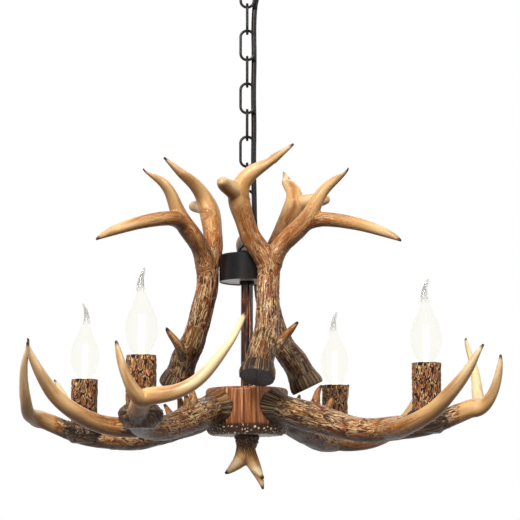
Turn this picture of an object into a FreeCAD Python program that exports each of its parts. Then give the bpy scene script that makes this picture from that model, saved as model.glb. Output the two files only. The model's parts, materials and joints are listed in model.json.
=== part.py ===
"""Antler chandelier on a chain: four candle arms below, three antlers round a cup above.

Millimetres, +Z up. The origin is the centre of the ceiling strap's upper face, and all else hangs below it.
"""
import FreeCAD, Part
import Sketcher
import math
import os
from FreeCAD import Placement, Rotation, Vector

ARMS = 4
CROWN = 3
CROWN_ANGLE = -57.0  # where the front upper antler meets the cup, seen from above
ROOT_ANGLE = -45.0   # where the front right arm meets the hub

SIZES = [
    ("canopy_radius", 60.0, "ceiling canopy, outer radius"),
    ("canopy_height", 28.0, "ceiling canopy, height"),
    ("canopy_wall", 1.2, "ceiling canopy, sheet thickness"),
    ("strap_length", 96.0, "ceiling strap, length"),
    ("strap_width", 20.0, "ceiling strap, width"),
    ("strap_sheet", 2.0, "ceiling strap, sheet thickness"),
    ("slot_spacing", 70.0, "ceiling strap, distance between its two slots"),
    ("slot_length", 12.0, "ceiling strap, slot length from end to end"),
    ("slot_width", 5.0, "ceiling strap, slot width"),
    ("nipple_radius", 5.0, "hollow threaded nipple, outer radius"),
    ("nipple_bore", 3.4, "hollow threaded nipple, bore radius"),
    ("nut_radius", 8.6, "nipple nut, radius over its corners"),
    ("nut_height", 4.0, "nipple nut, height"),
    ("block_length", 20.0, "terminal block, length"),
    ("block_width", 14.0, "terminal block, width"),
    ("block_height", 14.0, "terminal block, height"),
    ("loop_wire", 4.0, "canopy loop and crown loop, wire diameter"),
    ("loop_ring", 9.5, "canopy loop and crown loop, radius to the middle of the wire"),
    ("loop_collar", 8.0, "canopy loop and crown loop, collar radius"),
    ("loop_collar_height", 10.5, "canopy loop, collar height"),
    ("crown_collar_height", 5.0, "crown loop, collar height"),
    ("crown_loop_rise", 12.95, "crown loop, wire middle above the cup"),
    ("link_pitch", 31.8, "chain, distance from link to link"),
    ("link_wire", 3.2, "chain link, wire diameter"),
    ("link_width", 18.6, "chain link, outer width"),
    ("link_play", 0.3, "chain, play between the wires that hook together"),
    ("link_count", 10, "chain, number of links"),
    ("cable_diameter", 6.2, "supply cable, diameter"),
    ("bush_radius", 6.0, "cable bush, flange radius"),
    ("bush_flange", 3.0, "cable bush, flange thickness"),
    ("cup_radius", 32.0, "crown cup, outer radius"),
    ("cup_height", 31.2, "crown cup, height"),
    ("cup_wall", 1.5, "crown cup, wall"),
    ("stem_length", 122.6, "stem tube, length seen between cup and hub"),
    ("stem_radius", 7.0, "stem tube, outer radius"),
    ("stem_bore", 4.6, "stem tube, bore radius"),
    ("stem_socket", 20.0, "stem tube, depth in the hub"),
    ("collar_radius", 8.6, "stem collar, outer radius"),
    ("collar_height", 4.5, "stem collar, height"),
    ("hub_radius", 47.0, "hub, outer radius"),
    ("hub_height", 53.4, "hub, height"),
    ("hub_cavity", 34.0, "hub, radius of the wiring cavity"),
    ("hub_roof", 19.0, "hub, thickness over the wiring cavity"),
    ("hub_plate", 4.0, "hub plate, thickness"),
    ("bolt_radius", 3.0, "arm bolt, shank radius"),
    ("bolt_reach", 18.0, "arm bolt, depth in the arm"),
    ("bolt_head", 5.0, "arm bolt, head radius"),
    ("screw_radius", 2.0, "crown screw, shank radius"),
    ("screw_reach", 9.0, "crown screw, depth in the antler"),
    ("screw_head", 3.8, "crown screw, head radius"),
    ("head_height", 3.0, "arm bolt and crown screw, head height"),
    ("candle_out", 162.4, "candle axis from the arm's root, along X of the front right arm"),
    ("candle_side", -75.1, "candle axis from the arm's root, along Y of the front right arm"),
    ("candle_seat", -5.0, "candle seat above the hub's middle"),
    ("sleeve_radius", 16.2, "candle sleeve, outer radius"),
    ("sleeve_wall", 2.4, "candle sleeve, wall"),
    ("sleeve_height", 51.0, "candle sleeve, height"),
    ("holder_radius", 12.7, "lamp holder, outer radius"),
    ("holder_height", 49.0, "lamp holder, height"),
    ("cap_radius", 6.9, "lamp cap, radius over the thread"),
    ("cap_length", 26.5, "lamp cap, length"),
    ("glass_radius", 17.7, "bulb glass, greatest radius"),
    ("glass_height", 92.0, "bulb glass, height to its bent tip"),
    ("glass_wall", 0.8, "bulb glass, wall"),
    ("filament_radius", 0.8, "lit filament, radius"),
    ("fit", 0.1, "gap between pieces that seat in each other"),
    ("running_fit", 0.3, "gap round the lamp cap, which turns in its holder"),
]

# Sections of the castings: x, y, z of the centre and the radius there. The lower castings are measured
# from their root on the hub's wall, and the upper ones from their seat on the cup's wall, both halfway up.
ARM_TIP = [
    (192.8, -74.8, -10.0, 10.6),
    (215.8, -64.8, -1.0, 9.8),
    (223.8, -42.8, 2.0, 8.2),
    (224.8, -14.8, 15.0, 6.8),
    (224.8, 10.2, 43.0, 5.0),
    (220.8, 25.2, 66.0, 3.3),
    (217.8, 34.2, 85.0, 1.4),
]
ARM_BEAM = [
    (-9.2, 9.2, 5.0, 15.0),
    (0.8, -0.8, 3.0, 19.5),
    (6.8, -5.8, 1.0, 16.6),
    (24.8, -16.8, -5.0, 16.3),
    (46.8, -27.8, -12.0, 16.0),
    (75.8, -44.8, -21.5, 14.2),
    (102.8, -59.8, -26.0, 13.6),
    (131.8, -74.8, -24.0, 13.2),
]
ARM_BACK_TINE = [
    (206.8, -69.8, -4.0, 8.6),
    (224.8, -75.8, 1.0, 7.6),
    (233.8, -83.8, 15.0, 5.6),
    (238.8, -90.8, 34.0, 4.2),
    (240.8, -95.8, 54.0, 1.4),
]
ARM_FRONT_TINE = [
    (112.8, -64.8, -26.0, 11.5),
    (126.8, -90.8, -26.5, 11.0),
    (134.8, -111.8, -25.0, 10.0),
    (149.8, -133.8, -18.0, 9.2),
    (163.8, -148.8, -9.0, 8.7),
    (177.8, -164.8, 6.0, 7.6),
    (190.8, -174.8, 22.0, 6.2),
    (200.8, -182.8, 38.0, 4.4),
    (211.8, -187.8, 55.7, 1.4),
]
ARM_BROWS = [
    [(38.8, -22.8, -7.0, 8.0), (43.8, -24.8, 7.0, 5.5), (45.8, -26.8, 18.0, 3.6), (51.2, -28.8, 26.0, 1.5)],
    [(52.8, -28.8, -11.0, 7.0), (57.8, -30.8, 2.0, 4.6), (64.4, -32.8, 13.8, 1.8)],
]
CROWN_STEM = [
    (-5.9, -62.2, -133.5, 19.0),
    (-4.9, -59.7, -128.0, 20.0),
    (-3.4, -54.2, -117.0, 16.5),
    (-0.4, -47.2, -103.0, 15.5),
    (4.1, -32.2, -82.0, 14.0),
    (6.4, -19.7, -50.0, 13.2),
    (7.2, -11.4, -17.0, 12.8),
    (6.6, -11.2, 0.0, 13.0),
    (-1.4, -12.7, 14.0, 12.5),
    (-12.9, -16.2, 31.0, 11.6),
    (-20.0, -21.7, 50.0, 11.3),
    (-26.4, -30.7, 76.0, 12.0),
    (-19.4, -35.7, 93.0, 9.4),
    (-3.4, -39.2, 105.5, 7.4),
    (15.6, -46.2, 116.5, 5.0),
    (35.6, -54.2, 130.0, 1.5),
]
CROWN_FRONT_TINE = [
    (-21.4, -27.2, 66.0, 10.5),
    (-31.4, -37.2, 79.0, 10.0),
    (-38.4, -47.2, 82.5, 9.0),
    (-42.4, -55.2, 84.0, 8.0),
    (-44.4, -63.2, 85.0, 6.2),
    (-45.5, -68.0, 85.5, 3.3),
]
CROWN_BRANCH = [
    (4.6, -11.2, -8.0, 11.0),
    (15.6, -11.7, 11.0, 11.0),
    (31.1, -13.2, 31.0, 10.8),
    (48.6, -18.2, 48.0, 10.2),
    (58.6, -21.7, 64.0, 8.4),
    (69.6, -24.2, 82.0, 6.6),
    (83.6, -30.2, 94.0, 4.6),
    (97.2, -42.2, 105.0, 1.4),
]
CROWN_DROOPING_TINE = [
    (42.6, -16.2, 41.0, 9.5),
    (60.6, -19.2, 49.5, 8.8),
    (79.1, -23.2, 49.0, 8.2),
    (104.1, -35.8, 42.6, 7.4),
    (130.6, -51.6, 32.0, 6.0),
    (145.6, -60.2, 24.0, 3.8),
    (153.8, -65.6, 18.0, 1.4),
]
CROWN_BROW = [
    (0.6, -45.2, -108.0, 9.0),
    (9.6, -42.2, -101.0, 7.0),
    (20.6, -40.2, -91.0, 5.5),
    (30.6, -43.2, -80.0, 4.2),
    (40.1, -46.2, -69.5, 1.6),
]
FINIAL_TINES = [
    [(0.0, 0.0, -0.1, 14.0), (0.0, 0.0, -5.0, 13.2), (-1.0, 0.0, -12.0, 11.6), (-4.0, 0.0, -23.0, 10.0),
     (-12.0, 0.0, -33.0, 6.6), (-19.0, 0.0, -39.0, 4.0), (-24.7, 0.0, -43.2, 1.3)],
    [(0.0, 0.0, -14.0, 9.5), (5.0, 0.0, -27.0, 8.4), (11.0, 1.0, -39.0, 6.4), (15.5, 1.5, -50.0, 4.0),
     (18.5, 2.0, -61.0, 1.2)],
    [(7.0, 0.0, -34.0, 6.0), (13.0, -2.0, -42.0, 4.4), (19.4, -4.0, -48.8, 1.3)],
]
# Bulb: height above the sleeve as a share of the glass, radius as a share of the greatest, sideways lean.
BULB_OUTLINE = [
    (0.00, 0.40, 0.0), (0.04, 0.57, 0.0), (0.11, 0.79, 0.0), (0.21, 0.95, 0.0), (0.31, 1.00, 0.0),
    (0.42, 0.91, 0.0), (0.54, 0.64, 0.0), (0.65, 0.41, -0.6), (0.76, 0.26, -1.4), (0.86, 0.17, -1.1),
    (0.94, 0.11, 0.8), (1.00, 0.06, 3.2),
]
BULB_CAVITY = BULB_OUTLINE[:11]
# Middle of the supply cable, from the terminal block to the inside of the crown cup.
CABLE_ENTRY = (24.0, 10.0)
CABLE_EXIT = (13.0, 8.5)
CABLE_BENDS = [
    (24.0, 10.0, -45.0),
    (9.5, 7.2, -76.0),
    (7.4, 6.9, -110.0),
    (8.3, 7.5, -149.0),
    (7.2, 6.8, -190.0),
    (8.1, 7.4, -232.0),
    (7.3, 6.8, -275.0),
    (8.3, 7.3, -318.0),
    (8.6, 7.4, -350.0),
    (13.0, 8.5, -371.0),
]
CABLE_END = 11.0  # depth of the cable's end below the cup's top

doc = FreeCAD.newDocument("antler_chandelier")
sheet = doc.addObject("Spreadsheet::Sheet", "Sizes")
for row, (alias, number, note) in enumerate(SIZES, start=1):
    sheet.set("A%d" % row, note)
    sheet.set("B%d" % row, str(number))
    sheet.setAlias("B%d" % row, alias)
doc.recompute()

nodes = []


def value(expression):
    """The number that an expression of the sheet's sizes gives now."""
    return float(sheet.evalExpression(expression))


def size(alias):
    return float(sheet.get(alias))


def cell(alias):
    return "Sizes." + alias


def node(thing):
    """Lists an object as a finished piece, to be written under its Label."""
    nodes.append(thing)
    return thing


def place(thing, x="0", y="0", z="0", axis=Vector(0, 0, 1), angle=0.0):
    """Turns an object and binds its position to expressions."""
    thing.Placement = Placement(Vector(value(x), value(y), value(z)), Rotation(axis, angle))
    for direction, expression in zip("xyz", (x, y, z)):
        thing.setExpression("Placement.Base." + direction, expression)
    return thing


def turned(label, profile):
    """A body turned about Z from a closed outline of (radius, height) expressions."""
    body = doc.addObject("PartDesign::Body", label)
    sketch = body.newObject("Sketcher::SketchObject", label + "_outline")
    plane = [item for item in body.Origin.OriginFeatures if item.Role == "XZ_Plane"][0]
    sketch.AttachmentSupport = [(plane, "")]
    sketch.MapMode = "FlatFace"
    corners = [Vector(value(radius), value(height), 0) for radius, height in profile]
    following = corners[1:] + corners[:1]
    for corner, next_corner in zip(corners, following):
        sketch.addGeometry(Part.LineSegment(corner, next_corner), False)
    for edge, expressions in enumerate(profile):
        sketch.addConstraint(Sketcher.Constraint("Coincident", edge, 2, (edge + 1) % len(profile), 1))
        for kind, axis, expression in zip(("DistanceX", "DistanceY"), (-2, -1), expressions):
            if expression == "0":
                sketch.addConstraint(Sketcher.Constraint("PointOnObject", edge, 1, axis))
                continue
            index = sketch.addConstraint(Sketcher.Constraint(kind, -1, 1, edge, 1, value(expression)))
            sketch.setExpression("Constraints[%d]" % index, expression)
    revolution = body.newObject("PartDesign::Revolution", label + "_turned")
    revolution.Profile = sketch
    revolution.ReferenceAxis = (sketch, ["V_Axis"])
    revolution.Angle = 360
    sketch.Visibility = False
    return body


def primitive(kind, label, expressions, x="0", y="0", z="0", axis=Vector(0, 0, 1), angle=0.0):
    """A Part primitive with its sizes and position bound to expressions."""
    thing = doc.addObject("Part::" + kind, label)
    for name, expression in expressions.items():
        setattr(thing, name, value(expression))
        thing.setExpression(name, expression)
    return place(thing, x, y, z, axis, angle)


def fused(label, things):
    whole = doc.addObject("Part::MultiFuse", label)
    whole.Shapes = things
    return whole


def cut(label, base, tool):
    rest = doc.addObject("Part::Cut", label)
    rest.Base = base
    rest.Tool = tool
    return rest


def solid(label, shape, placement=Placement()):
    """A piece whose form only a loft gives: its shape reads the sheet, and then it gets its place."""
    thing = doc.addObject("Part::Feature", label)
    thing.Shape = shape
    thing.Placement = placement
    return thing


def quarter(x, y, turns):
    """Expressions for a point turned by quarter turns about Z."""
    for _ in range(turns % 4):
        x, y = "-(%s)" % y, x
    return x, y


# Heights, from the ceiling down.
LINK_HALF = "(%s/2 + %s/2 + %s/2)" % (cell("link_pitch"), cell("link_wire"), cell("link_play"))
LOOP_WIRE_Z = "(-%s - %s - 0.35 - %s*2)" % (
    cell("canopy_height"), cell("loop_collar_height"), cell("loop_ring"))
HOOK = "(%s/2 + %s/2 + %s)" % (cell("link_wire"), cell("loop_wire"), cell("link_play"))
FIRST_LINK_Z = "(%s + %s - %s)" % (LOOP_WIRE_Z, HOOK, LINK_HALF)
LAST_LINK_Z = "(%s - (%s - 1)*%s)" % (FIRST_LINK_Z, cell("link_count"), cell("link_pitch"))
CUP_TOP = "(%s - %s + %s - %s)" % (LAST_LINK_Z, LINK_HALF, HOOK, cell("crown_loop_rise"))
CUP_BOTTOM = "(%s - %s)" % (CUP_TOP, cell("cup_height"))
HUB_TOP = "(%s - %s)" % (CUP_BOTTOM, cell("stem_length"))
HUB_BOTTOM = "(%s - %s)" % (HUB_TOP, cell("hub_height"))
HUB_MIDDLE = "(%s + %s/2)" % (HUB_BOTTOM, cell("hub_height"))
CUP_MIDDLE = "(%s + %s/2)" % (CUP_BOTTOM, cell("cup_height"))
CANDLE_BASE = "(%s + %s)" % (HUB_MIDDLE, cell("candle_seat"))
CANDLE_X = "(%s*cos(%g) + %s)" % (cell("hub_radius"), ROOT_ANGLE, cell("candle_out"))
CANDLE_Y = "(%s*sin(%g) + %s)" % (cell("hub_radius"), ROOT_ANGLE, cell("candle_side"))


def make_ceiling_parts():
    """Strap, nipple, nut, terminal block, canopy, its cable bush and the loop that carries the chain."""
    radius, height, wall = cell("canopy_radius"), cell("canopy_height"), cell("canopy_wall")
    hole = "%s + %s" % (cell("nipple_radius"), cell("fit"))
    outer = [(1.0, 0.0), (1.0, 0.12), (0.96, 0.36), (0.84, 0.70), (0.66, 0.94), (0.52, 1.0)]
    outline = []
    for across, down in outer:
        outline.append(("%s*%g" % (radius, across), "%s*%g" % (height, down) if down else "0"))
    outline.append((hole, height))
    outline.append((hole, "%s - %s" % (height, wall)))
    for across, down in reversed(outer[1:]):
        outline.append(("%s*%g - %s" % (radius, across, wall), "%s*%g - %s" % (height, down, wall)))
    outline.append(("%s - %s" % (radius, wall), "0"))
    shell = place(turned("canopy_shell", outline), axis=Vector(1, 0, 0), angle=180)
    neck = "%s*0.72" % cell("bush_radius")
    bush_hole = primitive(
        "Cylinder", "canopy_bush_hole", {"Radius": "%s + %s" % (neck, cell("fit")), "Height": "%s*4" % wall},
        x="%g" % CABLE_ENTRY[0], y="%g" % CABLE_ENTRY[1], z="-%s - %s*2" % (height, wall))
    node(cut("canopy", shell, bush_hole))

    strap_z = "-%s" % cell("strap_sheet")
    strap = primitive(
        "Box", "strap_sheet_metal",
        {"Length": cell("strap_length"), "Width": cell("strap_width"), "Height": cell("strap_sheet")},
        x="-%s/2" % cell("strap_length"), y="-%s/2" % cell("strap_width"), z=strap_z)
    openings = [primitive("Cylinder", "strap_nipple_hole", {"Radius": hole, "Height": cell("strap_sheet")},
                          z=strap_z)]
    for side in (-1, 1):
        for end in (-1, 1):
            openings.append(primitive(
                "Cylinder", "slot_end",
                {"Radius": "%s/2" % cell("slot_width"), "Height": cell("strap_sheet")},
                x="%d*%s/2 + %d*(%s - %s)/2" % (
                    side, cell("slot_spacing"), end, cell("slot_length"), cell("slot_width")), z=strap_z))
        openings.append(primitive(
            "Box", "slot_middle",
            {"Length": "%s - %s" % (cell("slot_length"), cell("slot_width")), "Width": cell("slot_width"),
             "Height": cell("strap_sheet")},
            x="%d*%s/2 - (%s - %s)/2" % (side, cell("slot_spacing"), cell("slot_length"), cell("slot_width")),
            y="-%s/2" % cell("slot_width"), z=strap_z))
    node(cut("ceiling_strap", strap, fused("strap_openings", openings)))

    nipple_end = "%s + %s*0.7" % (height, cell("loop_collar_height"))
    node(place(turned("hollow_nipple", [
        (cell("nipple_bore"), "0"), (cell("nipple_radius"), "0"),
        (cell("nipple_radius"), nipple_end), (cell("nipple_bore"), nipple_end)]),
        axis=Vector(1, 0, 0), angle=180))
    nut = primitive("Prism", "nut_blank", {"Circumradius": cell("nut_radius"), "Height": cell("nut_height")},
                    z="-%s - %s" % (cell("strap_sheet"), cell("nut_height")))
    nut_hole = primitive("Cylinder", "nut_hole", {"Radius": hole, "Height": cell("nut_height")},
                         z="-%s - %s" % (cell("strap_sheet"), cell("nut_height")))
    node(cut("nipple_nut", nut, nut_hole))
    node(primitive(
        "Box", "terminal_block",
        {"Length": cell("block_length"), "Width": cell("block_width"), "Height": cell("block_height")},
        x="%g - %s/2" % (CABLE_ENTRY[0], cell("block_length")),
        y="%g - %s/2" % (CABLE_ENTRY[1], cell("block_width")),
        z="-%s - %s" % (cell("strap_sheet"), cell("block_height"))))
    node(place(cable_bush("cable_bush_upper", wall), x="%g" % CABLE_ENTRY[0], y="%g" % CABLE_ENTRY[1],
               z="-%s" % height, axis=Vector(1, 0, 0), angle=180))

    collar_z = "-%s - %s" % (height, cell("loop_collar_height"))
    collar = primitive("Cylinder", "canopy_loop_collar",
                       {"Radius": cell("loop_collar"), "Height": cell("loop_collar_height")}, z=collar_z)
    ring = primitive("Torus", "canopy_loop_ring",
                     {"Radius1": cell("loop_ring"), "Radius2": "%s/2" % cell("loop_wire")},
                     z="%s + %s" % (LOOP_WIRE_Z, cell("loop_ring")), axis=Vector(0, 1, 0), angle=90)
    socket = primitive("Cylinder", "canopy_loop_thread",
                       {"Radius": hole, "Height": "%s*0.75" % cell("loop_collar_height")},
                       z="-%s - %s*0.75" % (height, cell("loop_collar_height")))
    node(cut("canopy_loop", fused("canopy_loop_blank", [collar, ring]), socket))


def cable_bush(label, wall):
    """A flanged plastic bush whose neck goes through sheet metal; its flange lies at height 0 upwards."""
    bore = "%s/2 + %s" % (cell("cable_diameter"), cell("fit"))
    neck = "%s*0.72" % cell("bush_radius")
    below = "-%s*2" % wall
    return turned(label, [
        (bore, below), (neck, below), (neck, "0"), (cell("bush_radius"), "0"),
        (cell("bush_radius"), "%s*0.6" % cell("bush_flange")),
        ("%s*0.82" % cell("bush_radius"), cell("bush_flange")), (bore, cell("bush_flange"))])


def make_chain():
    """Welded oval links, each turned a quarter turn from the one above."""
    wire, bow = "%s/2" % cell("link_wire"), "(%s - %s)/2" % (cell("link_width"), cell("link_wire"))
    straight = "(%s*2 - %s + %s)" % (LINK_HALF, cell("link_width"), cell("link_wire"))
    for number in range(1, int(size("link_count")) + 1):
        label = "chain_link_%02d" % number
        pieces = []
        for end in (-1, 1):
            half = primitive("Torus", label + "_bow", {"Radius1": bow, "Radius2": wire},
                             z="%d*%s/2" % (end, straight), axis=Vector(1, 0, 0), angle=90 * end)
            half.Angle3 = 180
            pieces.append(half)
            pieces.append(primitive("Cylinder", label + "_side", {"Radius": wire, "Height": straight},
                                    x="%d*%s" % (end, bow), z="-%s/2" % straight))
        link = fused(label, pieces)
        node(place(link, z="%s - %d*%s" % (FIRST_LINK_Z, number - 1, cell("link_pitch")),
                   angle=0 if number % 2 else 90))


def tube_path(points):
    """Straight runs joined by arcs tangent to both, each as large as its shorter run allows."""
    edges, last, radii = [], points[0], []
    for before, corner, after in zip(points, points[1:], points[2:]):
        run_in, run_out = corner - before, after - corner
        turn = run_in.getAngle(run_out)
        reach = 0.45 * min(run_in.Length, run_out.Length)
        radii.append(reach / math.tan(turn / 2))
        run_in.normalize()
        run_out.normalize()
        start, end = corner - run_in * reach, corner + run_out * reach
        inward = run_out - run_in
        inward.normalize()
        middle = corner + inward * (radii[-1] / math.cos(turn / 2) - radii[-1])
        edges.append(Part.LineSegment(last, start).toShape())
        edges.append(Part.Arc(start, middle, end).toShape())
        last = end
    edges.append(Part.LineSegment(last, points[-1]).toShape())
    return Part.Wire(edges), radii


def make_supply_cable():
    """The cable beside the chain, from the terminal block to the inside of the cup."""
    top = -size("strap_sheet") - size("block_height")
    end = value(CUP_TOP) - CABLE_END
    points = [Vector(CABLE_ENTRY[0], CABLE_ENTRY[1], top)]
    points += [Vector(*bend) for bend in CABLE_BENDS]
    points.append(Vector(CABLE_EXIT[0], CABLE_EXIT[1], end))
    path, radii = tube_path(points)
    radius = size("cable_diameter") / 2
    section = Part.Wire(Part.Circle(points[0], Vector(0, 0, -1), radius).toShape())
    tube = path.makePipeShell([section], True, True)
    expected = math.pi * radius ** 2 * path.Length
    print("cable %.1f mm long, least radius %.1f mm, volume %.4f of section times length"
          % (path.Length, min(radii), tube.Volume / expected))
    node(solid("supply_cable", tube))


def make_crown_cup():
    """The black cup, its pale plate, the loop on top, the lower bush, and the screws into the antlers."""
    radius, height, wall = cell("cup_radius"), cell("cup_height"), cell("cup_wall")
    inner = "%s - %s" % (radius, wall)
    stud = "%s - %s*2" % (cell("stem_bore"), cell("fit"))
    hole = "%s + %s" % (stud, cell("fit"))
    cup = turned("cup_shell", [
        (inner, "0"), (radius, "0"), (radius, "%s - 1.5" % height), ("%s - 1.5" % radius, height),
        (hole, height), (hole, "%s - %s" % (height, wall)), (inner, "%s - %s" % (height, wall))])
    place(cup, z=CUP_BOTTOM)
    neck = "%s*0.72 + %s" % (cell("bush_radius"), cell("fit"))
    holes = [primitive("Cylinder", "cup_bush_hole", {"Radius": neck, "Height": "%s*4" % wall},
                       x="%g" % CABLE_EXIT[0], y="%g" % CABLE_EXIT[1], z="%s - %s*2" % (CUP_TOP, wall))]
    for number in range(CROWN):
        holes.append(radial_pin("cup_screw_hole", "%s + %s" % (cell("screw_radius"), cell("fit")),
                                "%s - %s*3" % (radius, wall), "%s*4" % wall, CUP_MIDDLE, crown_angle(number)))
    node(cut("crown_cup", cup, fused("cup_holes", holes)))
    tube_hole = "%s + %s" % (cell("stem_radius"), cell("fit"))
    rim = "%s - %s" % (inner, cell("fit"))
    node(place(turned("crown_plate", [(tube_hole, "0"), (rim, "0"), (rim, wall), (tube_hole, wall)]),
               z="%s + 1" % CUP_BOTTOM))
    node(place(cable_bush("cable_bush_lower", wall),
               x="%g" % CABLE_EXIT[0], y="%g" % CABLE_EXIT[1], z=CUP_TOP))

    collar = primitive("Cylinder", "crown_loop_collar",
                       {"Radius": cell("loop_collar"), "Height": cell("crown_collar_height")}, z=CUP_TOP)
    ring = primitive("Torus", "crown_loop_ring",
                     {"Radius1": cell("loop_ring"), "Radius2": "%s/2" % cell("loop_wire")},
                     z="%s + %s - %s" % (CUP_TOP, cell("crown_loop_rise"), cell("loop_ring")),
                     axis=Vector(1, 0, 0), angle=90)
    below = primitive("Box", "crown_loop_below",
                      {"Length": "%s*4" % cell("loop_ring"), "Width": "%s*4" % cell("loop_wire"),
                       "Height": "%s*3" % cell("loop_ring")},
                      x="-%s*2" % cell("loop_ring"), y="-%s*2" % cell("loop_wire"),
                      z="%s - %s*3" % (CUP_TOP, cell("loop_ring")))
    thread = primitive("Cylinder", "crown_loop_thread",
                       {"Radius": stud, "Height": "%s + %s" % (wall, cell("stem_socket"))},
                       z="%s - %s - %s" % (CUP_TOP, wall, cell("stem_socket")))
    hook = cut("crown_loop_hook", ring, below)
    node(fused("crown_loop", [collar, hook, thread]))

    screws = []
    seat = "%s - %s" % (radius, wall)
    for number in range(CROWN):
        angle = crown_angle(number)
        screws.append(fused("crown_screw", [
            radial_pin("crown_screw_shank", cell("screw_radius"), "%s - 0.5" % seat,
                       "%s + %s + 0.5" % (wall, cell("screw_reach")), CUP_MIDDLE, angle),
            radial_pin("crown_screw_head", cell("screw_head"), "%s - %s - 0.5" % (seat, cell("head_height")),
                       cell("head_height"), CUP_MIDDLE, angle)]))
    node(fused("crown_screws", screws))


def crown_angle(number):
    return CROWN_ANGLE - number * 360.0 / CROWN


def arm_angle(number):
    return ROOT_ANGLE - number * 360.0 / ARMS


def radial_pin(label, radius, start, length, height, angle):
    """A cylinder that points away from the stem at an angle seen from above."""
    turn = Rotation(Vector(0, 0, 1), angle) * Rotation(Vector(0, 1, 0), 90)
    pin = primitive("Cylinder", label, {"Radius": radius, "Height": length})
    out = turn.multVec(Vector(0, 0, 1))
    pin.Placement = Placement(Vector(), turn)
    for direction, share in (("x", out.x), ("y", out.y)):
        pin.setExpression("Placement.Base." + direction, "(%s)*%.9f" % (start, share))
    pin.setExpression("Placement.Base.z", height)
    return pin


def make_stem_and_hub():
    """Stem tube, its collar, the turned hub with its wiring cavity, the plate and the arm bolts."""
    tube_length = "%s + %s + %s - %s*2" % (
        cell("stem_length"), cell("stem_socket"), cell("cup_height"), cell("cup_wall"))
    node(place(turned("stem_tube", [
        (cell("stem_bore"), "0"), (cell("stem_radius"), "0"),
        (cell("stem_radius"), tube_length), (cell("stem_bore"), tube_length)]),
        z="%s - %s" % (HUB_TOP, cell("stem_socket"))))
    bore = "%s + %s" % (cell("stem_radius"), cell("fit"))
    node(place(turned("stem_collar", [
        (bore, "0"), (cell("collar_radius"), "0"), (cell("collar_radius"), cell("collar_height")),
        (bore, cell("collar_height"))]), z="%s + 1 - %s" % (CUP_BOTTOM, cell("collar_height"))))
    radius, height, cavity = cell("hub_radius"), cell("hub_height"), cell("hub_cavity")
    ceiling = "%s - %s" % (height, cell("hub_roof"))
    hub = place(turned("hub_block", [
        (cavity, "0"), ("%s - 7" % radius, "0"), ("%s - 2.5" % radius, "3"), (radius, "9"),
        (radius, "%s - 3" % height), ("%s - 2.5" % radius, height), (bore, height), (bore, ceiling),
        (cavity, ceiling)]), z=HUB_BOTTOM)
    holes = []
    bolts = []
    seat = cell("hub_cavity")
    bolt_z = "%s + 2" % HUB_MIDDLE
    wall = "(%s - %s)" % (radius, cavity)
    for number in range(ARMS):
        angle = arm_angle(number)
        holes.append(radial_pin("hub_bolt_hole", "%s + %s" % (cell("bolt_radius"), cell("fit")),
                                "%s - 2" % seat, "%s + 4" % wall, bolt_z, angle))
        bolts.append(fused("arm_bolt", [
            radial_pin("arm_bolt_shank", cell("bolt_radius"), "%s - 0.8" % seat,
                       "%s + %s + 0.8" % (wall, cell("bolt_reach")), bolt_z, angle),
            radial_pin("arm_bolt_head", cell("bolt_head"), "%s - 0.8 - %s" % (seat, cell("head_height")),
                       cell("head_height"), bolt_z, angle)]))
    node(cut("hub", hub, fused("hub_bolt_holes", holes)))
    node(fused("arm_bolts", bolts))
    rim = "%s - %s" % (cavity, cell("fit"))
    stud_hole = "%s + %s" % (cell("stem_bore"), cell("fit"))
    node(place(turned("hub_plate", [
        (stud_hole, "0"), (rim, "0"), (rim, cell("hub_plate")), (stud_hole, cell("hub_plate"))]),
        z=HUB_BOTTOM))


def limb(sections):
    """A round tapered limb lofted through (x, y, z, radius) sections that stand square to its run."""
    centres = [Vector(x, y, z) for x, y, z, radius in sections]
    side = Vector(0.3, 0.2, 1)
    rings = []
    for index, (x, y, z, radius) in enumerate(sections):
        run = centres[min(index + 1, len(centres) - 1)] - centres[max(index - 1, 0)]
        run.normalize()
        side = side - run * side.dot(run)
        side.normalize()
        ring = Part.Circle(centres[index], run, radius)
        ring.XAxis = side
        rings.append(Part.Wire(ring.toShape()))
    return Part.makeLoft(rings, True)


def blind_hole(seat_angle, radius, depth, offset, height):
    """A drilling along the radial direction of a casting's seat, measured from the seat itself."""
    out = Vector(math.cos(math.radians(seat_angle)), math.sin(math.radians(seat_angle)), 0)
    return Part.makeCylinder(radius, depth + offset, Vector(0, 0, height) - out * offset, out)


def seat_cylinder(seat_angle, radius, height):
    """The round wall that a casting is fastened to, seen from its seat, with the seating gap."""
    out = Vector(math.cos(math.radians(seat_angle)), math.sin(math.radians(seat_angle)), 0)
    base = -out * radius - Vector(0, 0, height)
    return Part.makeCylinder(radius + size("fit"), height * 2, base, Vector(0, 0, 1))


def arm_casting():
    """One lower antler: beam with burr, two brow tines, a forked outer end and the candle's seat."""
    out, side, seat = size("candle_out"), size("candle_side"), size("candle_seat")
    below_candle = [(out + 1.4, side - 3.7, seat - 15.0, 12.0)]
    beam = limb(ARM_BEAM + below_candle + ARM_TIP)
    pedestal = Part.makeCone(15, 23.5, 10, Vector(out, side, seat - 25))
    pedestal = pedestal.fuse([
        Part.makeCylinder(23.5, 8, Vector(out, side, seat - 15)),
        Part.makeCone(23.5, size("sleeve_radius") + 1.2, 7, Vector(out, side, seat - 7))])
    tines = [limb(tine) for tine in [ARM_BACK_TINE, ARM_FRONT_TINE] + ARM_BROWS]
    casting = beam.fuse(tines + [pedestal])
    casting = casting.cut(seat_cylinder(ROOT_ANGLE, size("hub_radius"), 60))
    candle_radius = size("sleeve_radius") + size("fit")
    casting = casting.cut(Part.makeCylinder(candle_radius, size("sleeve_height"), Vector(out, side, seat)))
    casting = casting.cut(blind_hole(
        ROOT_ANGLE, size("bolt_radius") + size("fit"), size("bolt_reach") + 2, 2, 2))
    return largest_solid(casting)


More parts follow.
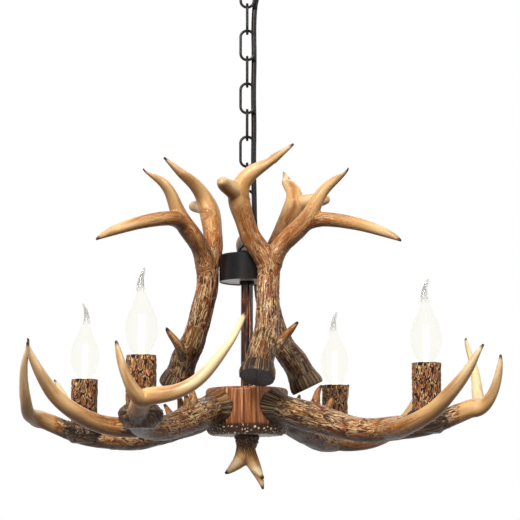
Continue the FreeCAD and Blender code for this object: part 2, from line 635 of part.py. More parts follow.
def crown_casting():
    """One upper antler: burr, brow tine, a forked left branch and a forked right branch."""
    casting = limb(CROWN_STEM).fuse([
        limb(CROWN_FRONT_TINE), limb(CROWN_BRANCH), limb(CROWN_DROOPING_TINE), limb(CROWN_BROW)])
    casting = casting.cut(seat_cylinder(CROWN_ANGLE, size("cup_radius"), 20))
    casting = casting.cut(blind_hole(
        CROWN_ANGLE, size("screw_radius") + size("fit"), size("screw_reach") + 1, 2, 0))
    return largest_solid(casting)


def largest_solid(shape):
    return max(shape.Solids, key=lambda item: item.Volume)


def make_castings():
    """Four equal lower antlers round the hub and three equal upper ones round the cup."""
    arm = arm_casting()
    for number in range(ARMS):
        angle = math.radians(arm_angle(number))
        seat = Vector(math.cos(angle), math.sin(angle), 0) * size("hub_radius")
        turn = Rotation(Vector(0, 0, 1), arm_angle(number) - ROOT_ANGLE)
        seat.z = value(HUB_MIDDLE)
        node(solid("lower_antler_%d" % (number + 1), arm, Placement(seat, turn)))
    antler = crown_casting()
    for number in range(CROWN):
        angle = math.radians(crown_angle(number))
        seat = Vector(math.cos(angle), math.sin(angle), 0) * size("cup_radius")
        turn = Rotation(Vector(0, 0, 1), crown_angle(number) - CROWN_ANGLE)
        seat.z = value(CUP_MIDDLE)
        node(solid("upper_antler_%d" % (number + 1), antler, Placement(seat, turn)))
    tines = [limb(tine) for tine in FINIAL_TINES]
    stud = Part.makeCylinder(size("stem_bore"), size("hub_plate") + 8)
    finial = tines[0].fuse(tines[1:] + [stud])
    node(solid("finial", largest_solid(finial), Placement(Vector(0, 0, value(HUB_BOTTOM)), Rotation())))


def bulb_glass():
    """Blown glass with a bent tip, hollow up to its neck."""
    height, widest, wall = size("glass_height"), size("glass_radius"), size("glass_wall")
    outside = limb([(lean, 0, up * height, share * widest) for up, share, lean in BULB_OUTLINE])
    inside = limb([(lean, 0, up * height + wall, share * widest - wall) for up, share, lean in BULB_CAVITY])
    return outside.cut(inside)


def make_candles():
    """Sleeve, lamp holder and screwed bulb on each arm's seat."""
    glass = bulb_glass()
    for number in range(ARMS):
        mark = "_%d" % (number + 1)
        x, y = quarter(CANDLE_X, CANDLE_Y, -number)
        sleeve = cell("sleeve_radius")
        inner = "%s - %s" % (sleeve, cell("sleeve_wall"))
        node(place(turned("candle_sleeve" + mark, [
            (inner, "0"), (sleeve, "0"), (sleeve, cell("sleeve_height")), (inner, cell("sleeve_height"))]),
            x, y, CANDLE_BASE))
        holder = cell("holder_radius")
        socket = "%s + %s" % (cell("cap_radius"), cell("running_fit"))
        cap_base = "(%s - %s)" % (cell("sleeve_height"), cell("cap_length"))
        floor = "%s - %s" % (cap_base, cell("running_fit"))
        node(place(turned("lamp_holder" + mark, [
            ("0", "0"), (holder, "0"), (holder, "%s - 1.5" % cell("holder_height")),
            ("%s - 1.5" % holder, cell("holder_height")), (socket, cell("holder_height")),
            (socket, floor), ("0", floor)]), x, y, CANDLE_BASE))
        cap = cell("cap_radius")
        length = cell("cap_length")
        cap_z = "%s + %s" % (CANDLE_BASE, cap_base)
        node(place(turned("bulb_cap" + mark, [
            ("0", "0"), ("%s*0.35" % cap, "0"), ("%s*0.6" % cap, "3"), (cap, "5"), (cap, length),
            ("0", length)]), x, y, cap_z))
        glass_z = "%s + %s" % (CANDLE_BASE, cell("sleeve_height"))
        where = Vector(value(x), value(y), value(glass_z))
        lean = Rotation(Vector(0, 0, 1), 180 if number == 2 else 0)
        node(solid("bulb_glass" + mark, glass, Placement(where, lean)))
        wire = cell("filament_radius")
        pieces = [primitive("Cone", "filament_stem", {
            "Radius1": "%s*0.5" % cap, "Radius2": "%s*2" % wire, "Height": "%s*0.16" % cell("glass_height")},
            z=cell("glass_wall") + " + 0.2")]
        for turn in range(4):
            across = ("%s*3" % wire, "0")
            fx, fy = quarter(across[0], across[1], turn)
            pieces.append(primitive("Cylinder", "filament_rod", {
                "Radius": wire, "Height": "%s*0.32" % cell("glass_height")}, fx, fy,
                "%s*0.14" % cell("glass_height")))
        pieces.append(primitive("Cylinder", "filament_bridge", {"Radius": "%s*3" % wire, "Height": wire},
                                z="%s*0.15" % cell("glass_height")))
        node(place(fused("bulb_filament" + mark, pieces), x, y, glass_z))


def write_parts():
    """Checks every object and writes each piece to its own file."""
    doc.recompute()
    for thing in doc.Objects:
        bad = [state for state in thing.State if state in ("Invalid", "Error")]
        if bad:
            raise RuntimeError("%s is %s" % (thing.Label, bad))
    os.makedirs("parts", exist_ok=True)
    for piece in nodes:
        if piece.Shape.isNull() or not piece.Shape.isValid() or not piece.Shape.Solids:
            raise RuntimeError("%s has no valid solid" % piece.Label)
        piece.Shape.exportStep(os.path.join("parts", piece.Label + ".step"))
    print("%d pieces written" % len(nodes))


make_ceiling_parts()
make_chain()
make_supply_cable()
make_crown_cup()
make_stem_and_hub()
make_castings()
make_candles()
write_parts()
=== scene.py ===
"""Looks of the antler chandelier: painted antlers, bark sleeves, lit bulbs, chain, cable and stage."""

import json
import math

import bmesh
import bpy
import numpy as np
from mathutils import Matrix, Vector, noise


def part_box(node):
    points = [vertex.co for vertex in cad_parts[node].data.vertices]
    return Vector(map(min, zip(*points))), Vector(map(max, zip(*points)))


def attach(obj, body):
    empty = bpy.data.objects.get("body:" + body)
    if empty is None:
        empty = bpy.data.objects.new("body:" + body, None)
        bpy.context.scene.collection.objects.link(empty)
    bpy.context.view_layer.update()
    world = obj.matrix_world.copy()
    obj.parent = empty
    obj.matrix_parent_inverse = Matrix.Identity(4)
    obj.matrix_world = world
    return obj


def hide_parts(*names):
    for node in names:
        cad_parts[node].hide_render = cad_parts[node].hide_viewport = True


bl_info = {
    "name": "Antler chandelier looks",
    "version": (1, 0, 0),
    "blender": (4, 5, 0),
    "location": "3D View > Sidebar > Chandelier",
    "description": "Dresses the packed antler chandelier: castings, bark, bulbs, chain, cable and stage",
    "category": "Object",
}

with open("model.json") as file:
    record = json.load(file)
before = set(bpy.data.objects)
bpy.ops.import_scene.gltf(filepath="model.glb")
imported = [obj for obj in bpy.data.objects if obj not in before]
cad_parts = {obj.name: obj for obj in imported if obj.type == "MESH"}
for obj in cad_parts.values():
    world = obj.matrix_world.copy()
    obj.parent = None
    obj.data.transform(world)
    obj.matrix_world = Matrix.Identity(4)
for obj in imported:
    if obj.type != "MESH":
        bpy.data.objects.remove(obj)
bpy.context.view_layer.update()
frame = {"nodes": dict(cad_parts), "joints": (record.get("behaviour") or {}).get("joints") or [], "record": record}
MM = 0.001
MERGE = 1e-7  # metres: points as close as this are one point

ARMS = 4
CROWN = 3
ROOT_ANGLE = -45.0   # where the front right arm meets the hub, degrees
CROWN_ANGLE = -57.0  # where the front upper antler meets the cup, degrees

# Runs of the castings in mm, as x, y, z and radius: the lower ones from their root on the hub's wall, the
# upper ones from their seat on the cup's wall. They carry the lengthwise relief and the paint.
ARM_BEAM = [
    (-9.2, 9.2, 5.0, 15.0), (0.8, -0.8, 3.0, 19.5), (6.8, -5.8, 1.0, 16.6), (24.8, -16.8, -5.0, 16.3),
    (46.8, -27.8, -12.0, 16.0), (75.8, -44.8, -21.5, 14.2), (102.8, -59.8, -26.0, 13.6),
    (131.8, -74.8, -24.0, 13.2), (163.8, -78.8, -20.0, 12.0), (192.8, -74.8, -10.0, 10.6),
    (215.8, -64.8, -1.0, 9.8), (223.8, -42.8, 2.0, 8.2), (224.8, -14.8, 15.0, 6.8),
    (224.8, 10.2, 43.0, 5.0), (220.8, 25.2, 66.0, 3.3), (217.8, 34.2, 85.0, 1.4),
]
ARM_TINES = [
    [(206.8, -69.8, -4.0, 8.6), (224.8, -75.8, 1.0, 7.6), (233.8, -83.8, 15.0, 5.6),
     (238.8, -90.8, 34.0, 4.2), (240.8, -95.8, 54.0, 1.4)],
    [(112.8, -64.8, -26.0, 11.5), (126.8, -90.8, -26.5, 11.0), (134.8, -111.8, -25.0, 10.0),
     (149.8, -133.8, -18.0, 9.2), (163.8, -148.8, -9.0, 8.7), (177.8, -164.8, 6.0, 7.6),
     (190.8, -174.8, 22.0, 6.2), (200.8, -182.8, 38.0, 4.4), (211.8, -187.8, 55.7, 1.4)],
    [(38.8, -22.8, -7.0, 8.0), (43.8, -24.8, 7.0, 5.5), (45.8, -26.8, 18.0, 3.6), (51.2, -28.8, 26.0, 1.5)],
    [(52.8, -28.8, -11.0, 7.0), (57.8, -30.8, 2.0, 4.6), (64.4, -32.8, 13.8, 1.8)],
]
CROWN_BEAM = [
    (-5.9, -62.2, -133.5, 19.0), (-4.9, -59.7, -128.0, 20.0), (-3.4, -54.2, -117.0, 16.5),
    (-0.4, -47.2, -103.0, 15.5), (4.1, -32.2, -82.0, 14.0), (6.4, -19.7, -50.0, 13.2),
    (7.2, -11.4, -17.0, 12.8), (6.6, -11.2, 0.0, 13.0), (-1.4, -12.7, 14.0, 12.5),
    (-12.9, -16.2, 31.0, 11.6), (-20.0, -21.7, 50.0, 11.3), (-26.4, -30.7, 76.0, 12.0),
    (-19.4, -35.7, 93.0, 9.4), (-3.4, -39.2, 105.5, 7.4), (15.6, -46.2, 116.5, 5.0),
    (35.6, -54.2, 130.0, 1.5),
]
CROWN_TINES = [
    [(-21.4, -27.2, 66.0, 10.5), (-31.4, -37.2, 79.0, 10.0), (-38.4, -47.2, 82.5, 9.0),
     (-42.4, -55.2, 84.0, 8.0), (-44.4, -63.2, 85.0, 6.2), (-45.5, -68.0, 85.5, 3.3)],
    [(4.6, -11.2, -8.0, 11.0), (15.6, -11.7, 11.0, 11.0), (31.1, -13.2, 31.0, 10.8),
     (48.6, -18.2, 48.0, 10.2), (58.6, -21.7, 64.0, 8.4), (69.6, -24.2, 82.0, 6.6),
     (83.6, -30.2, 94.0, 4.6), (97.2, -42.2, 105.0, 1.4)],
    [(42.6, -16.2, 41.0, 9.5), (60.6, -19.2, 49.5, 8.8), (79.1, -23.2, 49.0, 8.2),
     (104.1, -35.8, 42.6, 7.4), (130.6, -51.6, 32.0, 6.0), (145.6, -60.2, 24.0, 3.8),
     (153.8, -65.6, 18.0, 1.4)],
    [(0.6, -45.2, -108.0, 9.0), (9.6, -42.2, -101.0, 7.0), (20.6, -40.2, -91.0, 5.5),
     (30.6, -43.2, -80.0, 4.2), (40.1, -46.2, -69.5, 1.6)],
]
FINIAL_BEAM = [
    (0.0, 0.0, 0.0, 14.0), (0.0, 0.0, -14.0, 11.2), (5.0, 0.0, -27.0, 8.4), (11.0, 1.0, -39.0, 6.4),
    (15.5, 1.5, -50.0, 4.0), (18.5, 2.0, -61.0, 1.2),
]
FINIAL_TINES = [
    [(-1.0, 0.0, -12.0, 11.6), (-4.0, 0.0, -23.0, 10.0), (-12.0, 0.0, -33.0, 6.6),
     (-19.0, 0.0, -39.0, 4.0), (-24.7, 0.0, -43.2, 1.3)],
    [(7.0, 0.0, -34.0, 6.0), (13.0, -2.0, -42.0, 4.4), (19.4, -4.0, -48.8, 1.3)],
]
# Middle of the supply cable in mm, the route of its CAD tube.
CABLE_ROUTE = [
    (24.0, 10.0, -16.0), (24.0, 10.0, -45.0), (9.5, 7.2, -76.0), (7.4, 6.9, -110.0), (8.3, 7.5, -149.0),
    (7.2, 6.8, -190.0), (8.1, 7.4, -232.0), (7.3, 6.8, -275.0), (8.3, 7.3, -318.0), (8.6, 7.4, -350.0),
    (13.0, 8.5, -371.0), (13.0, 8.5, -395.5),
]
# Middle of the candle's seat on the first lower casting, in the same mm.
CANDLE_SEAT = (162.4, -75.1, -5.0)
# Noise cells per mm, two across a run and one along it.
RIDGE_GRAIN = (0.34, 0.34, 0.050)
WAVE_GRAIN = (0.09, 0.09, 0.045)
BURR_GRAIN = (0.26, 0.26, 0.17)
SEAT_GRAIN = (0.30, 0.30, 0.17)
SWAY_SEED = 7  # fixes the offsets of the vector noise that sways the bark


def linear(hex_colour, alpha=1.0):
    """The linear colour of an sRGB hex value."""
    parts = [int(hex_colour[i:i + 2], 16) / 255 for i in (1, 3, 5)]
    return [c / 12.92 if c <= 0.04045 else ((c + 0.055) / 1.055) ** 2.4 for c in parts] + [alpha]


def colour(name, description, hex_colour):
    return bpy.props.FloatVectorProperty(
        name=name, description=description, subtype="COLOR", size=4, min=0, max=1,
        default=linear(hex_colour))


def length(name, description, millimetres):
    return bpy.props.FloatProperty(
        name=name, description=description, unit="LENGTH", min=0, default=millimetres * MM)


class ChandelierSizes(bpy.types.PropertyGroup):
    """Sizes that the dressing adds to the frame."""
    casting_grain: length("Casting grain", "Edge of the smallest facet on an antler", 1.15)
    ridge_depth: length("Ridge depth", "Depth of the lengthwise ridges near an antler's root", 1.2)
    burr_depth: length("Burr depth", "Depth of the knobs round an antler's root", 1.9)
    bark_depth: length("Bark depth", "Depth of the bark on the candle sleeves", 1.0)
    cable_radius: length("Cable radius", "Radius of the supply cable", 3.1)


class ChandelierColours(bpy.types.PropertyGroup):
    """Paint and finish colours, some of them also used as painted shade."""
    tine: colour("Tine", "Smooth paint towards the tips", "#E2C79A")
    # Brown streaks on the tines, and also the painted shade on their undersides.
    stain_and_underside_shade: colour("Stain", "Brown sprayed along one side of the tines", "#8A5527")
    beam: colour("Beam", "Paint halfway along the antlers", "#A05C24")
    root: colour("Root", "Paint near the roots", "#702F10")
    # The dark wash in the grooves, and also the painted shade in the castings' low relief.
    groove_wash_and_shade: colour("Groove", "Paint in the grooves", "#170A06")
    ridge: colour("Ridge", "Dry-brushed ridges", "#EFCB96")
    end_face: colour("End face", "Flat ends of the upper antlers", "#3B3236")
    bark: colour("Bark", "Bark of the candle sleeves", "#944E22")
    wood: colour("Wood", "Hub", "#734223")
    black: colour("Black", "Chain, cup and canopy", "#0B0B0C")


# ---------------------------------------------------------------- small tools

def deselect():
    if bpy.context.object and bpy.context.object.mode != "OBJECT":
        bpy.ops.object.mode_set(mode="OBJECT")
    bpy.ops.object.select_all(action="DESELECT")


def pick(piece):
    deselect()
    piece.select_set(True)
    bpy.context.view_layer.objects.active = piece


def apply(piece, kind, **settings):
    """Adds a modifier with its settings and applies it."""
    pick(piece)
    modifier = piece.modifiers.new(kind.title(), kind)
    for key, setting in settings.items():
        setattr(modifier, key, setting)
    bpy.ops.object.modifier_apply(modifier=modifier.name)


def place_new(name, data):
    """A new object, linked into the scene."""
    made = bpy.data.objects.new(name, data)
    bpy.context.scene.collection.objects.link(made)
    return made


def copy_of(node, name):
    """A merged copy of a CAD node, free to be shaped."""
    piece = place_new(name, frame["nodes"][node].data.copy())
    piece.data.materials.clear()
    shape = bmesh.new()
    shape.from_mesh(piece.data)
    bmesh.ops.remove_doubles(shape, verts=shape.verts, dist=MERGE)
    shape.to_mesh(piece.data)
    shape.free()
    return piece


def close_holes(shape):
    bmesh.ops.holes_fill(shape, edges=[edge for edge in shape.edges if edge.is_boundary], sides=0)


def new_tip(piece, sections, home):
    """Cuts a run off past its last section but one and sets a plain taper there, for the remesh to join."""
    stump, lap, round_it = 1.5 * MM, 4 * MM, 14 * MM
    start, tip = [home @ (Vector(section[:3]) * MM) for section in sections[-2:]]
    thick, thin = [section[3] * MM for section in sections[-2:]]
    along = tip - start
    span = along.length
    along.normalize()
    shape = bmesh.new()
    shape.from_mesh(piece.data)
    spare = []
    for vertex in shape.verts:
        place = (vertex.co - start).dot(along)
        off_axis = (vertex.co - start - along * place).length
        if stump < place < span + round_it and off_axis < round_it:
            spare.append(vertex)
    bmesh.ops.delete(shape, geom=spare, context="VERTS")
    close_holes(shape)
    shape.to_mesh(piece.data)
    shape.free()
    deselect()
    bpy.ops.mesh.primitive_cone_add(
        vertices=64, radius1=thick + (thick - thin) * lap / span, radius2=thin, depth=span + lap,
        location=(start - along * lap + tip) / 2, rotation=along.to_track_quat("Z", "Y").to_euler())
    taper = bpy.context.object
    pick(piece)
    taper.select_set(True)
    bpy.ops.object.join()
    return piece


def turned_copy(piece, name, turn):
    """The same piece with its own mesh, moved by a matrix."""
    twin = place_new(name, piece.data.copy())
    twin.data.transform(turn)
    return twin


def smooth(piece, angle=50):
    pick(piece)
    bpy.ops.object.shade_smooth_by_angle(angle=math.radians(angle), keep_sharp_edges=False)


def paint(piece, material):
    piece.data.materials.clear()
    piece.data.materials.append(material)


def finish_piece(piece, body, material, replaced):
    """Paints a piece all over and hangs it on its body, in place of a CAD node."""
    paint(piece, material)
    for face in piece.data.polygons:
        face.material_index = 0
    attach(piece, body)
    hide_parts(replaced)


def coordinates(mesh):
    flat = np.empty(len(mesh.vertices) * 3)
    mesh.vertices.foreach_get("co", flat)
    return flat.reshape(-1, 3)


def normals(mesh):
    flat = np.empty(len(mesh.vertices) * 3)
    mesh.vertices.foreach_get("normal", flat)
    return flat.reshape(-1, 3)


def set_coordinates(mesh, points):
    mesh.vertices.foreach_set("co", points.ravel())
    mesh.update()


def write_number(mesh, name, numbers):
    layer = mesh.attributes.new(name, "FLOAT", "POINT")
    layer.data.foreach_set("value", np.asarray(numbers, np.float32))


def write_vector(mesh, name, vectors):
    layer = mesh.attributes.new(name, "FLOAT_VECTOR", "POINT")
    layer.data.foreach_set("vector", np.asarray(vectors, np.float32).ravel())


def ramp_between(numbers, low, high):
    share = np.clip((numbers - low) / (high - low), 0, 1)
    return share * share * (3 - 2 * share)


def ridged(points, octaves=3):
    """Ridged noise, one number from about 0 to 1 for each point."""
    return np.array([
        noise.ridged_multi_fractal(Vector(p), 1.0, 2.1, octaves, 0.9, 2.0) for p in points]) / 1.6


def lumps(points):
    """Soft noise, one number from -1 to 1 for each point."""
    return np.array([noise.noise(Vector(p)) for p in points]) * 1.6


def knobs(points):
    """Rounded knobs: 1 in a knob's middle and 0 in the furrow round it."""
    found = []
    for p in points:
        distances = noise.voronoi(Vector(p))[0]
        found.append(distances[1] - distances[0])
    return np.clip(np.array(found) * 1.6, 0, 1)


# ---------------------------------------------------------------- materials

def new_material(name):
    material = bpy.data.materials.new(name)
    material.use_nodes = True
    return material, material.node_tree, material.node_tree.nodes["Principled BSDF"]


def add(tree, kind, settings=(), inputs=(), links=()):
    """Adds one node: its settings, its input values by name or index, and links into it."""
    made = tree.nodes.new(kind)
    for key, setting in dict(settings).items():
        setattr(made, key, setting)
    for key, number in dict(inputs).items():
        made.inputs[key].default_value = number
    for key, socket in dict(links).items():
        tree.links.new(socket, made.inputs[key])
    return made


def connect(tree, given, socket):
    """Feeds an input with a socket, or with a plain number or colour."""
    if hasattr(given, "is_linked"):
        tree.links.new(given, socket)
    else:
        socket.default_value = given


def attribute(tree, name, output="Fac"):
    return add(tree, "ShaderNodeAttribute", {"attribute_name": name}).outputs[output]


def calculate(tree, operation, *given, clamp=False):
    """One operation on numbers, each a socket or a plain number. Returns the number that comes out."""
    node = add(tree, "ShaderNodeMath", {"operation": operation, "use_clamp": clamp})
    for socket, term in zip(node.inputs, given):
        connect(tree, term, socket)
    return node.outputs[0]


def times(tree, first, second):
    return calculate(tree, "MULTIPLY", first, second, clamp=True)


def mix(tree, first, second, factor):
    """Mixes two colours, each a socket or a plain colour, and returns the colour that comes out."""
    node = add(tree, "ShaderNodeMix", {"data_type": "RGBA"})
    connect(tree, factor, node.inputs[0])
    connect(tree, first, node.inputs[6])
    connect(tree, second, node.inputs[7])
    return node.outputs[2]


def ramp(tree, source, stops):
    """A colour ramp over a number, from (place, colour) stops. Returns the colour that comes out."""
    node = add(tree, "ShaderNodeValToRGB", links={"Fac": source})
    elements = node.color_ramp.elements
    elements.remove(elements[-1])
    elements[0].position, elements[0].color = stops[0]
    for place, shade in stops[1:]:
        elements.new(place).color = shade
    return node.outputs[0]


def mask(tree, source, stops):
    """A ramp over a number in greys, from (place, level) stops."""
    return ramp(tree, source, [(place, (level, level, level, 1)) for place, level in stops])


def noise_over(tree, place, stretch=None, **inputs):
    """The outputs of a noise over a place, which is stretched first if three scales are given."""
    if stretch:
        stretched = add(tree, "ShaderNodeMapping", inputs={"Scale": stretch}, links={"Vector": place})
        place = stretched.outputs[0]
    return add(tree, "ShaderNodeTexNoise", inputs=inputs, links={"Vector": place}).outputs


def bumped(tree, shader, height, distance, strength):
    bump = add(tree, "ShaderNodeBump", inputs={"Distance": distance, "Strength": strength},
               links={"Height": height})
    tree.links.new(bump.outputs[0], shader.inputs["Normal"])


def gloss(shader, roughness, specular, coat=0.0, coat_roughness=0.1, metallic=0.0):
    for key, number in (("Roughness", roughness), ("Specular IOR Level", specular), ("Coat Weight", coat),
                        ("Coat Roughness", coat_roughness), ("Metallic", metallic)):
        shader.inputs[key].default_value = number


def unrolled(tree, run, around, along, warp):
    """A skin laid flat: turns round the run by around, millimetres along it by along, swayed by a noise."""
    parts = add(tree, "ShaderNodeSeparateXYZ", links={0: run}).outputs
    across = calculate(tree, "MULTIPLY", calculate(tree, "ARCTAN2", parts["Y"], parts["X"]), around)
    down = calculate(tree, "MULTIPLY", parts["Z"], along)
    flat = add(tree, "ShaderNodeCombineXYZ", links={0: across, 1: down})
    sway = noise_over(tree, run, (0.16, 0.16, 0.07), Scale=1.0, Detail=3.0, Roughness=0.6)
    wavy = add(tree, "ShaderNodeVectorMath", {"operation": "MULTIPLY_ADD"}, {1: (warp, warp * 0.6, 0)},
               {0: sway["Color"], 2: flat.outputs[0]})
    return wavy.outputs[0], sway["Fac"]


def net(tree, flat):
    """How far a place is from the nearest line of a net of long cells: 0 on a line."""
    return add(tree, "ShaderNodeTexVoronoi", {"feature": "DISTANCE_TO_EDGE", "voronoi_dimensions": "2D"},
               {"Scale": 1.0}, {"Vector": flat}).outputs["Distance"]


def painted_resin(name, deep_root):
    """Cast polyester resin, sprayed in browns, dry-brushed and lacquered: satin gloss and pale ridges."""
    colours = bpy.context.scene.chandelier_colours
    material, tree, shader = new_material(name)
    run = attribute(tree, "run", "Vector")
    age, relief, tip, cut, under = [
        attribute(tree, key) for key in ("age", "relief", "tip", "cut", "under")]
    # Twenty ridges round a beam, each some 25 mm long, like those that blood vessels leave on an antler.
    flat, sway = unrolled(tree, run, 3.1, 0.040, 1.9)
    cells = net(tree, flat)
    fine = noise_over(tree, run, (0.78, 0.78, 0.046), Scale=1.0, Detail=3.0, Roughness=0.6,
                      Distortion=0.7)["Fac"]
    # Brown sprayed along one side, in streaks as long as a tine.
    patches = noise_over(tree, run, (0.085, 0.085, 0.012), Scale=1.0, Detail=3.0)["Fac"]
    blotched = calculate(tree, "ADD", age, calculate(tree, "MULTIPLY_ADD", patches, 0.6, -0.30), clamp=True)
    base = ramp(tree, blotched, [
        (0.0, tuple(colours.tine)), (0.20, linear("#CDA069")), (0.42, tuple(colours.beam)),
        (0.68, tuple(colours.root)), (0.90, linear(deep_root))])
    streaks = mask(tree, patches, [(0.50, 0), (0.66, 0.65)])
    shade = mix(tree, base, tuple(colours.stain_and_underside_shade), streaks)
    # The furrows keep the dark wash, and the low relief gets painted shade on top of it. The ridges beside the
    # furrows catch the pale brush. Both the dark and the pale fade at the tips.
    grooved = mask(tree, age, [(0.20, 0), (0.42, 0.55), (0.62, 1)])
    furrow = mask(tree, cells, [(0.03, 1), (0.10, 0)])
    # Painted shade in the recesses of the carved relief, laid over the dark wash there.
    low = mask(tree, relief, [(0.08, 1), (0.34, 0)])
    scratch = mask(tree, fine, [(0.36, 1), (0.46, 0)])
    for dark, share in ((furrow, 0.75), (low, 0.9), (scratch, 0.75)):
        shade = mix(tree, shade, tuple(colours.groove_wash_and_shade), times(tree, times(tree, dark, grooved), share))
    edge = mask(tree, cells, [(0.09, 0), (0.13, 1), (0.17, 1), (0.23, 0)])
    hairline = mask(tree, fine, [(0.53, 0), (0.57, 1), (0.60, 1), (0.64, 0)])
    broken = mask(tree, sway, [(0.38, 0.1), (0.52, 1)])
    brushed = mask(tree, age, [(0.20, 0), (0.42, 0.55), (0.62, 1), (0.84, 0.9), (0.96, 0.35)])
    for line, share in ((edge, 0.6), (hairline, 0.75)):
        pale = times(tree, times(tree, line, broken), brushed)
        shade = mix(tree, shade, tuple(colours.ridge), times(tree, pale, share))
    # Painted shade on the undersides: brown on the tines and near black towards the roots, as much as the
    # underside map gives.
    shadow = ramp(tree, age, [(0.1, tuple(colours.stain_and_underside_shade)), (0.5, linear("#260F08"))])
    shade = mix(tree, shade, shadow, times(tree, under, 0.8))
    shade = mix(tree, shade, linear("#3A2112"), tip)
    shade = mix(tree, shade, tuple(colours.end_face), cut)
    tree.links.new(shade, shader.inputs["Base Color"])
    raised = mask(tree, cells, [(0.0, 0), (0.16, 1)])
    height = calculate(tree, "MULTIPLY_ADD", fine, 0.35, raised)
    bumped(tree, shader, times(tree, height, grooved), 0.0008, 0.8)
    gloss(shader, 0.38, 0.12, coat=0.08, coat_roughness=0.12)
    return material


def bark_resin():
    """Cast resin bark: brown plates, black furrows that are partly painted shade, and cream brushed over the
    ridges between them.
    """
    colours = bpy.context.scene.chandelier_colours
    material, tree, shader = new_material("bark_resin")
    run, relief = attribute(tree, "run", "Vector"), attribute(tree, "relief")
    flat, sway = unrolled(tree, run, 4.6, 0.060, 2.4)
    cells = net(tree, flat)
    grain = noise_over(tree, run, (0.8, 0.8, 0.16), Scale=1.0, Detail=3.0, Distortion=0.8)["Fac"]
    shade = ramp(tree, grain, [
        (0.33, linear("#351609")), (0.43, linear("#6C3516")), (0.54, tuple(colours.bark)),
        (0.66, linear("#B8743A"))])
    furrow = mask(tree, cells, [(0.04, 1), (0.12, 0)])
    # Black in the bark's low relief: partly the dark paint in its furrows, partly painted shade in the recesses.
    low = mask(tree, relief, [(0.15, 1), (0.42, 0)])
    shade = mix(tree, shade, linear("#0C0504"), furrow)
    shade = mix(tree, shade, linear("#0C0504"), times(tree, low, 0.85))
    edge = mask(tree, cells, [(0.10, 0), (0.14, 1), (0.19, 1), (0.25, 0)])
    broken = mask(tree, sway, [(0.42, 0.1), (0.56, 0.9)])
    pale = times(tree, times(tree, edge, broken), 0.75)
    shade = mix(tree, shade, tuple(colours.ridge), pale)
    tree.links.new(shade, shader.inputs["Base Color"])
    raised = mask(tree, cells, [(0.0, 0), (0.16, 1)])
    bumped(tree, shader, calculate(tree, "MULTIPLY_ADD", grain, 0.5, raised), 0.0008, 0.8)
    gloss(shader, 0.42, 0.12, coat=0.06, coat_roughness=0.2)
    return material


def stained_wood():
    """Resin cast from turned pine and stained orange-brown: upright grain, satin lacquer."""
    colours = bpy.context.scene.chandelier_colours
    material, tree, shader = new_material("stained_wood")
    relief, ragged = attribute(tree, "relief"), attribute(tree, "age")
    place = add(tree, "ShaderNodeTexCoord").outputs["Object"]
    grain = noise_over(tree, place, (520, 520, 15), Scale=1.0, Detail=4.0, Roughness=0.7,
                       Distortion=0.2)["Fac"]
    shade = ramp(tree, grain, [
        (0.36, linear("#33150A")), (0.45, tuple(colours.wood)), (0.55, linear("#985930")),
        (0.66, linear("#CBA07A"))])
    # Darker on the ragged foot, and a little darker towards the bottom over the wall's lowest 30 mm.
    shade = mix(tree, shade, linear("#1E0D08"), times(tree, ragged, 0.9))
    brushed = mask(tree, relief, [(0.55, 0), (0.75, 1)])
    shade = mix(tree, shade, linear("#D9B98C"), times(tree, brushed, ragged))
    tree.links.new(shade, shader.inputs["Base Color"])
    bumped(tree, shader, grain, 0.0005, 0.4)
    gloss(shader, 0.40, 0.15, coat=0.1, coat_roughness=0.2)
    return material


def black_enamel():
    """Steel under black powder coat: half gloss with a faint orange peel."""
    material, tree, shader = new_material("black_enamel")
    place = add(tree, "ShaderNodeTexCoord").outputs["Object"]
    peel = noise_over(tree, place, Scale=900.0, Detail=2.0)["Fac"]
    cloud = noise_over(tree, place, Scale=40.0, Detail=2.0)["Fac"]
    shade = ramp(tree, cloud, [
        (0.35, tuple(bpy.context.scene.chandelier_colours.black)), (0.7, linear("#1D1614"))])
    tree.links.new(shade, shader.inputs["Base Color"])
    bumped(tree, shader, peel, 0.0001, 0.35)
    gloss(shader, 0.28, 0.18)
    return material


def rubbed_bronze():
    """Steel tube lacquered dark bronze, rubbed so that copper shows in upright streaks."""
    material, tree, shader = new_material("rubbed_bronze")
    place = add(tree, "ShaderNodeTexCoord").outputs["Object"]
    streaks = noise_over(tree, place, (260, 260, 34), Scale=1.0, Detail=5.0, Roughness=0.7)["Fac"]
    shade = ramp(tree, streaks, [
        (0.44, linear("#0E0908")), (0.54, linear("#45200F")), (0.64, linear("#A05A38"))])
    tree.links.new(shade, shader.inputs["Base Color"])
    gloss(shader, 0.22, 0.3, coat=0.3, coat_roughness=0.1, metallic=0.35)
    return material


def plain_finish(name, hex_low, hex_high, roughness, metallic=0.0, scale=120.0, specular=0.5):
    """A moulded or plated surface whose tone wanders a little, with a fine bump."""
    material, tree, shader = new_material(name)
    place = add(tree, "ShaderNodeTexCoord").outputs["Object"]
    cloud = noise_over(tree, place, Scale=scale, Detail=4.0)["Fac"]
    shade = ramp(tree, cloud, [(0.35, linear(hex_low)), (0.65, linear(hex_high))])
    tree.links.new(shade, shader.inputs["Base Color"])
    bumped(tree, shader, cloud, 0.0001, 0.3)
    gloss(shader, roughness, specular, metallic=metallic)
    return material


